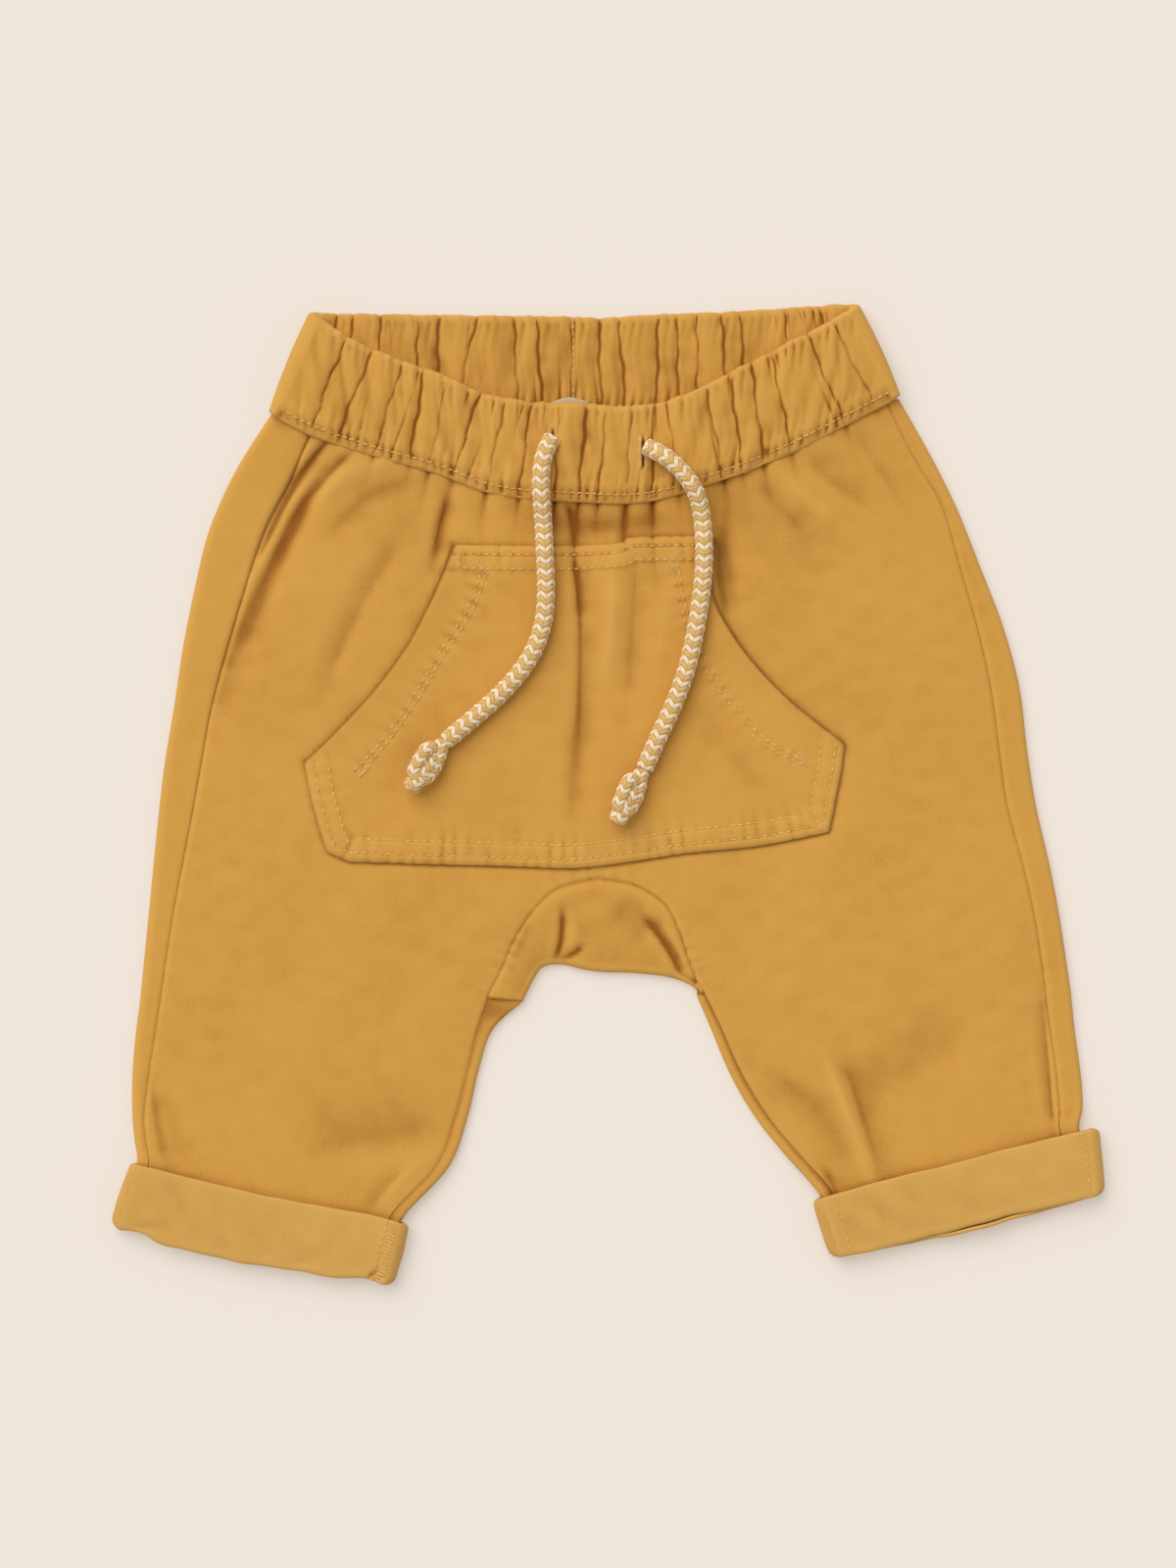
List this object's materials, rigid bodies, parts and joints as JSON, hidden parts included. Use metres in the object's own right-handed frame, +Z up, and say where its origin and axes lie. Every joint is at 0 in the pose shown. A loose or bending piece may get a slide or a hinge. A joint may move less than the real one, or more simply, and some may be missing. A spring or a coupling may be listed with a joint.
{
  "type": "baby trousers, laid flat",
  "caption": "Pull-on baby trousers laid flat: gathered drawstring waist, front patch pocket, crotch gusset and turned-up leg ends.",
  "frame": {"origin": "centre of the bounding box at its base, on the surface that the trousers lie on, without the drawcords", "axes": "+Z up out of the surface, +Y from the leg ends towards the waist, +X towards the right as seen from above"},
  "size_m": [0.3385, 0.3346, 0.0156],
  "materials": {
    "mustard_cloth": "mustard cotton twill, matt, with a soft sheen",
    "mustard_cloth_reverse": "the twill's paler, more matt reverse side",
    "braided_cord": "round cotton braid with cream chevrons on mustard",
    "label_tape": "plain woven tape, blank"
  },
  "bodies": {
    "root": {"front": "mustard_cloth", "back_left": "mustard_cloth", "back_right": "mustard_cloth", "gusset": "mustard_cloth", "waistband": "mustard_cloth", "pocket": "mustard_cloth", "cuff_left": "mustard_cloth_reverse", "cuff_right": "mustard_cloth_reverse", "label": "label_tape", "drawcord_left": "braided_cord", "drawcord_right": "braided_cord", "knot_left": "braided_cord", "knot_right": "braided_cord"}
  },
  "joints": []
}
